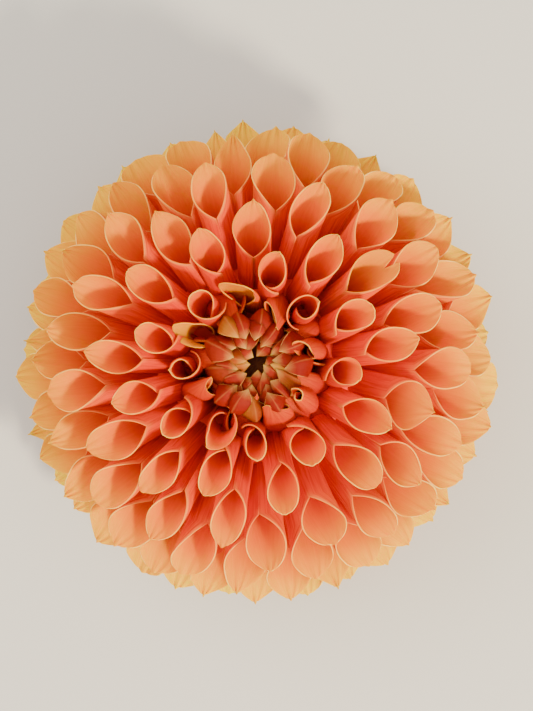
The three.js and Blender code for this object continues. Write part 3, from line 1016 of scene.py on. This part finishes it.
# The papery inner bracts
# Thirteen dry, see-through scales that hug the underside of the head. They grow on a thin
# ring round the boss of the receptacle, each a little over the next.
PAPER_BRACTS = 13
PAPER_ROOT = 5.7
PAPER_REACH = 19.4
PAPER_HALF_WIDTH = 3.2
PAPER_HEIGHT = 8.3
PAPER_WALL = 0.25
PAPER_TILT = 0.2
PAPER_ROOT_WIDTH = 0.5
PAPER_WIDEST = 0.55
PAPER_BLUNTNESS = 7
LEAST_WIDTH = 0.02
PAPER_RIPPLE = 0.1
PAPER_WAVES_ACROSS = 7
PAPER_WAVES_ALONG = 5
PAPER_TURN = math.radians(3)
PAPER_REACH_SCATTER = 0.5
DRAW_PAPER_TURN = 21
DRAW_PAPER_REACH = 22
PAPER_ACROSS_STEPS = 10
PAPER_ALONG_STEPS = 14
BRACT_SMOOTHING = math.radians(50)

PAPER_LOOK = tissue_material(
    "papery_bract", colour(176, 150, 88), colour(222, 206, 150), roughness=0.5, through=0.4
)
flat_bract = add_blank("flat_bract", (PAPER_LOOK,), PAPER_ACROSS_STEPS, PAPER_ALONG_STEPS)


def join_copies(name, blank, count, shape, wall):
    """Copies of a flat blank, each shaped by its own rule, joined and given their wall."""
    blades = []
    for number in range(count):
        blade = copy_blank(blank)
        for vertex in blade.data.vertices:
            vertex.co = shape(number, vertex.co.x, (vertex.co.y + 1) / 2)
        blades.append(blade)
    bpy.data.objects.remove(blank)
    joined = join_blades(name, blades)
    thickness = joined.modifiers.new("wall", "SOLIDIFY")
    thickness.thickness = wall * MM
    thickness.offset = 0
    bpy.ops.object.modifier_apply(modifier="wall")
    bpy.ops.object.shade_smooth_by_angle(angle=BRACT_SMOOTHING)
    return joined


def paper_bract(number, across, place):
    """A point of one papery scale: narrow at its ring, widest past half way, blunt-tipped."""
    turn = PAPER_TURN * draw(number, DRAW_PAPER_TURN)
    azimuth = 2 * math.pi * number / PAPER_BRACTS + turn
    short = PAPER_REACH_SCATTER * abs(draw(number, DRAW_PAPER_REACH))
    reach = lerp(PAPER_ROOT, PAPER_REACH - short, place)
    width = lerp(PAPER_ROOT_WIDTH, 1, smoothstep(place, 0, PAPER_WIDEST))
    width *= math.sqrt(max(LEAST_WIDTH, 1 - place**PAPER_BLUNTNESS))
    side = PAPER_HALF_WIDTH * width * across
    phase = PAPER_WAVES_ACROSS * across + PAPER_WAVES_ALONG * place + number
    ripple = PAPER_RIPPLE * math.sin(phase)
    return on_bloom(azimuth, reach, side, PAPER_HEIGHT + PAPER_TILT * across + ripple * place)


paper = join_copies("papery_bracts", flat_bract, PAPER_BRACTS, paper_bract, PAPER_WALL)
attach(paper, "root")
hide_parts("inner_bracts")


# The green outer bracts, the boss and the stem
# Six fleshy leaves bent down under the head, grown with the boss and the cut stem as one
# body. The stem is cut square and is hollow, as old dahlia stems are.
GREEN_BRACTS = 6
GREEN_ROOT = 4.4
GREEN_REACH = 22
GREEN_HALF_WIDTH = 4
GREEN_LINE = [(0, 6.9), (0.4, 6.5), (0.7, 5.1), (0.9, 3.4), (1, 2.3)]
GREEN_WALL = 0.9
GREEN_ROOT_WIDTH = 0.55
GREEN_WIDENS = (0.1, 0.7)
GREEN_BLUNTNESS = 5
GREEN_CREASE = 0.35
GREEN_CREASE_WIDTH = 0.16
GREEN_CUP = 0.5
GREEN_ACROSS_STEPS = 12
GREEN_ALONG_STEPS = 16
STEM_SIDES = 40
STEM_PROFILE = [
    (2.55, 1.2),
    (2.6, 1.5),
    (2.6, 3.4),
    (3.0, 4.2),
    (4.8, 5.3),
    (6.2, 6.1),
    (6.5, 6.6),
    (6.4, 7.3),
    (6.0, 7.7),
    (5.0, 7.7),
    (5.0, 9.8),
]
PITH_RADIUS = 1.0
PITH_DEPTH = 1.6
CUT_MARGIN = 0.01
STEM_SMOOTHING = math.radians(40)

GREEN_LOOK = tissue_material(
    "green_bract", colour(70, 96, 30), colour(134, 158, 74), roughness=0.5, through=0.2
)
STEM_LOOK = tissue_material("green_stem", colour(84, 104, 40), colour(140, 152, 80))
CUT_LOOK = tissue_material("cut_stem", colour(150, 160, 100), colour(196, 200, 150))

flat_leaf = add_blank("flat_leaf", (GREEN_LOOK,), GREEN_ACROSS_STEPS, GREEN_ALONG_STEPS)


def green_bract(number, across, place):
    """A point of one fleshy leaf: a spoon with a raised midrib, bent down to its blunt tip."""
    azimuth = 2 * math.pi * (number + 0.5) / GREEN_BRACTS
    stops, heights = zip(*GREEN_LINE)
    reach = lerp(GREEN_ROOT, GREEN_REACH, place)
    width = lerp(GREEN_ROOT_WIDTH, 1, smoothstep(place, *GREEN_WIDENS))
    width *= math.sqrt(max(LEAST_WIDTH, 1 - place**GREEN_BLUNTNESS))
    side = GREEN_HALF_WIDTH * width * across
    crease = GREEN_CREASE * math.exp(-((across / GREEN_CREASE_WIDTH) ** 2)) * (1 - place)
    cup = GREEN_CUP * across**2 * place
    return on_bloom(azimuth, reach, side, along(stops, heights, place) - crease + cup)


leaves = join_copies("green_bracts", flat_leaf, GREEN_BRACTS, green_bract, GREEN_WALL)
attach(leaves, "root")
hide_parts("stem_and_outer_bracts")

# The boss is drawn down from its top to the cut, then in and up to the end of the pith
cut_height = STEM_PROFILE[0][1]
profile = STEM_PROFILE[::-1]
profile += [(PITH_RADIUS, cut_height), (PITH_RADIUS, cut_height + PITH_DEPTH)]
top_radius, top_height = profile[0]
bpy.ops.object.select_all(action="DESELECT")
bpy.ops.mesh.primitive_circle_add(
    vertices=STEM_SIDES,
    radius=top_radius * MM,
    fill_type="NGON",
    location=(0, 0, top_height * MM),
)
bpy.ops.object.transform_apply(location=True)
stem = bpy.context.object
stem.name = "boss_and_stem"
for look in (STEM_LOOK, CUT_LOOK):
    stem.data.materials.append(look)
bpy.ops.object.mode_set(mode="EDIT")
bpy.ops.mesh.select_all(action="SELECT")
for (radius, height), (next_radius, next_height) in zip(profile, profile[1:]):
    bpy.ops.mesh.extrude_region_move(
        TRANSFORM_OT_translate={"value": (0, 0, (next_height - height) * MM)}
    )
    if next_radius != radius:
        share = next_radius / radius
        bpy.ops.transform.resize(value=(share, share, 1), center_override=(0, 0, 0))
bpy.ops.mesh.select_all(action="SELECT")
bpy.ops.mesh.normals_make_consistent(inside=False)
bpy.ops.uv.cylinder_project(direction="ALIGN_TO_OBJECT", scale_to_bounds=True)
bpy.ops.object.mode_set(mode="OBJECT")
for face in stem.data.polygons:
    if face.center.z < (cut_height + CUT_MARGIN) * MM:
        face.material_index = 1
bpy.ops.object.shade_smooth_by_angle(angle=STEM_SMOOTHING)
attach(stem, "root")
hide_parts("stem_and_outer_bracts")
